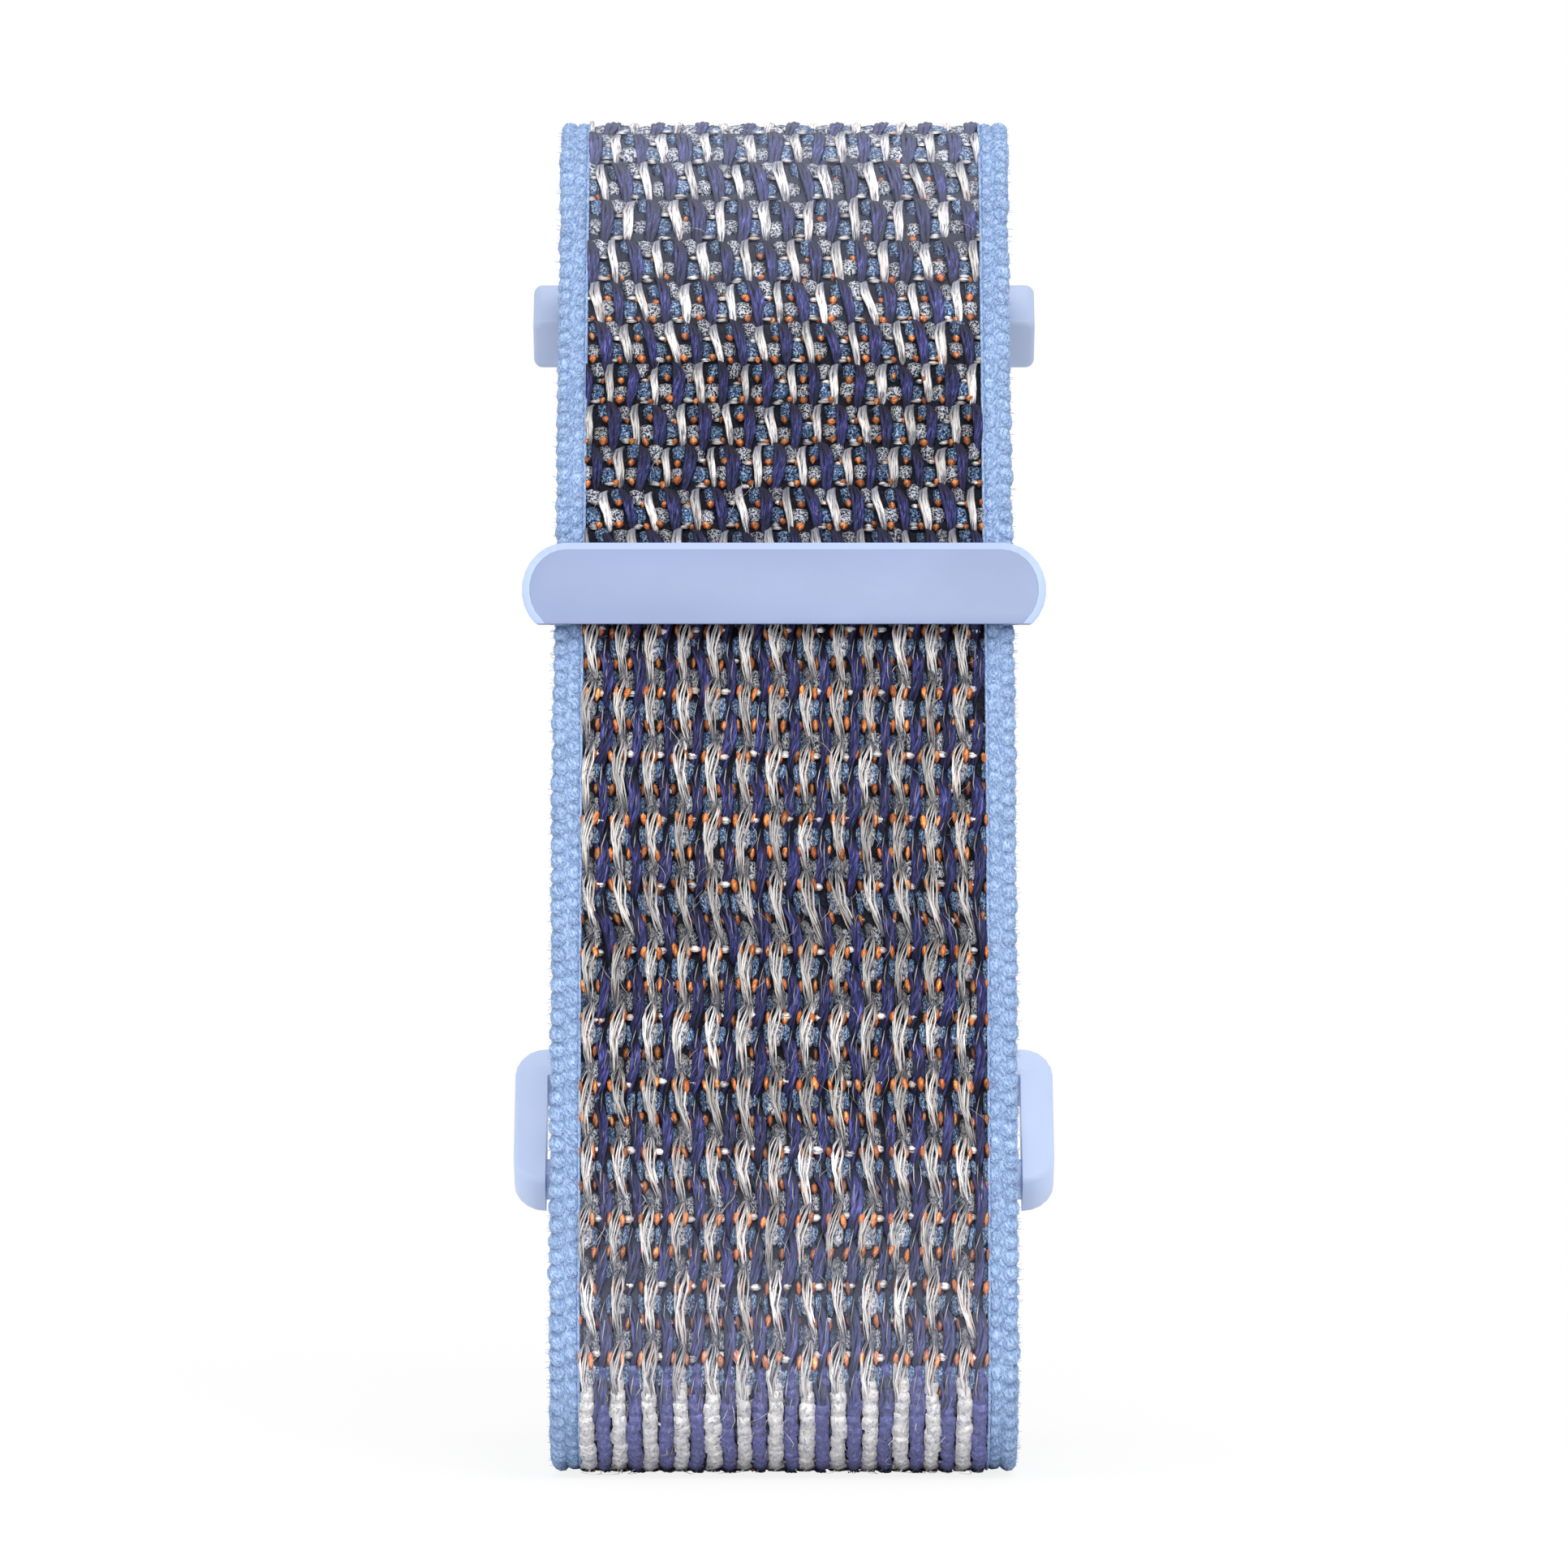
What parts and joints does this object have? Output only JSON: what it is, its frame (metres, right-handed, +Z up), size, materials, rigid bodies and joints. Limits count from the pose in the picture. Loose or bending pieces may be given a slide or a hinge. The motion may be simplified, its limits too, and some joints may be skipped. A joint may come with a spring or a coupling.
{
  "type": "hook and loop watch strap",
  "caption": "Woven hook and loop watch strap closed into a wrist loop, with an end tab, a pinned adapter, a ring adapter and quick release spring bars.",
  "frame": {"origin": "middle of the box's base: the middle of the strap's width, half way through the loop's depth, on the surface that the loop stands on", "axes": "+Z up, from the bottom of the loop to its top; +X across the strap; -Y towards the end tab and the flap, +Y towards the watch"},
  "size_m": [0.0308, 0.0483, 0.0743],
  "materials": {
    "woven_nylon": "matte",
    "edge_yarn": "matte",
    "hook_tape": "matte",
    "coated_plastic": "satin",
    "steel": "satin"
  },
  "bodies": {
    "strap_base": {"base_webbing": "woven_nylon", "base_edge_left": "edge_yarn", "base_edge_right": "edge_yarn"},
    "flap_1": {"flap_1_webbing": "woven_nylon", "flap_1_edge_left": "edge_yarn", "flap_1_edge_right": "edge_yarn"},
    "flap_2": {"flap_2_webbing": "woven_nylon", "flap_2_edge_left": "edge_yarn", "flap_2_edge_right": "edge_yarn"},
    "flap_3": {"flap_3_webbing": "woven_nylon", "flap_3_edge_left": "edge_yarn", "flap_3_edge_right": "edge_yarn", "hook_patch_3": "hook_tape"},
    "flap_4": {"flap_4_webbing": "woven_nylon", "flap_4_edge_left": "edge_yarn", "flap_4_edge_right": "edge_yarn", "hook_patch_4": "hook_tape", "end_tab": "coated_plastic"},
    "upper_1": {"upper_1_webbing": "woven_nylon", "upper_1_edge_left": "edge_yarn", "upper_1_edge_right": "edge_yarn"},
    "upper_2": {"upper_2_webbing": "woven_nylon", "upper_2_edge_left": "edge_yarn", "upper_2_edge_right": "edge_yarn"},
    "upper_3": {"upper_3_webbing": "woven_nylon", "upper_3_edge_left": "edge_yarn", "upper_3_edge_right": "edge_yarn"},
    "fixed_adapter": {"fixed_adapter_frame": "coated_plastic", "fixed_strap_pin": "steel", "fixed_bar_barrel": "steel", "fixed_bar_fixed_tip": "steel", "fixed_bar_spring": "steel"},
    "fixed_release": {"fixed_release_plunger": "steel", "fixed_release_knob": "steel"},
    "ring_adapter": {"ring_adapter_frame": "coated_plastic", "ring_bar_barrel": "steel", "ring_bar_fixed_tip": "steel", "ring_bar_spring": "steel"},
    "ring_release": {"ring_release_plunger": "steel", "ring_release_knob": "steel"}
  },
  "joints": [
    {"name": "flap_peel_1", "type": "hinge", "parent": "strap_base", "child": "flap_1", "pos_m": [0, -0.02443, 0.00922], "axis": [1, 0, 0], "range_deg": [0, 30]},
    {"name": "flap_peel_2", "type": "hinge", "parent": "flap_1", "child": "flap_2", "pos_m": [0, -0.02254, 0.01932], "axis": [1, 0, 0], "range_deg": [0, 30]},
    {"name": "flap_peel_3", "type": "hinge", "parent": "flap_2", "child": "flap_3", "pos_m": [0, -0.02042, 0.02934], "axis": [1, 0, 0], "range_deg": [0, 30]},
    {"name": "flap_peel_4", "type": "hinge", "parent": "flap_3", "child": "flap_4", "pos_m": [0, -0.01747, 0.0392], "axis": [1, 0, 0], "range_deg": [0, 30]},
    {"name": "upper_bend_1", "type": "hinge", "parent": "strap_base", "child": "upper_1", "pos_m": [0, -0.00629, 0.05802], "axis": [1, 0, 0], "range_deg": [-5, 25]},
    {"name": "upper_bend_2", "type": "hinge", "parent": "upper_1", "child": "upper_2", "pos_m": [0, -0.0009, 0.06855], "axis": [1, 0, 0], "range_deg": [-5, 25]},
    {"name": "upper_bend_3", "type": "hinge", "parent": "upper_2", "child": "upper_3", "pos_m": [0, 0.00952, 0.0727], "axis": [1, 0, 0], "range_deg": [-5, 25]},
    {"name": "fixed_adapter_swivel", "type": "hinge", "parent": "upper_3", "child": "fixed_adapter", "pos_m": [0, 0.01741, 0.06377], "axis": [1, 0, 0], "range_deg": [-40, 40]},
    {"name": "ring_adapter_swivel", "type": "hinge", "parent": "strap_base", "child": "ring_adapter", "pos_m": [0, 0.01387, 0.01455], "axis": [1, 0, 0], "range_deg": [-40, 40]},
    {"name": "fixed_release_slide", "type": "slide", "parent": "fixed_adapter", "child": "fixed_release", "axis": [-1, 0, 0], "range_m": [0, 0.0012], "stiffness_N_per_m": 60, "springref_m": -0.004, "deforming": ["fixed_bar_spring"]},
    {"name": "ring_release_slide", "type": "slide", "parent": "ring_adapter", "child": "ring_release", "axis": [1, 0, 0], "range_m": [0, 0.0012], "stiffness_N_per_m": 60, "springref_m": -0.004, "deforming": ["ring_bar_spring"]}
  ],
  "couplings": [
    {"joint": "flap_peel_2", "follows": "flap_peel_1", "ratio": 1},
    {"joint": "flap_peel_3", "follows": "flap_peel_1", "ratio": 1},
    {"joint": "flap_peel_4", "follows": "flap_peel_1", "ratio": 1},
    {"joint": "upper_bend_2", "follows": "upper_bend_1", "ratio": 1},
    {"joint": "upper_bend_3", "follows": "upper_bend_1", "ratio": 1}
  ]
}
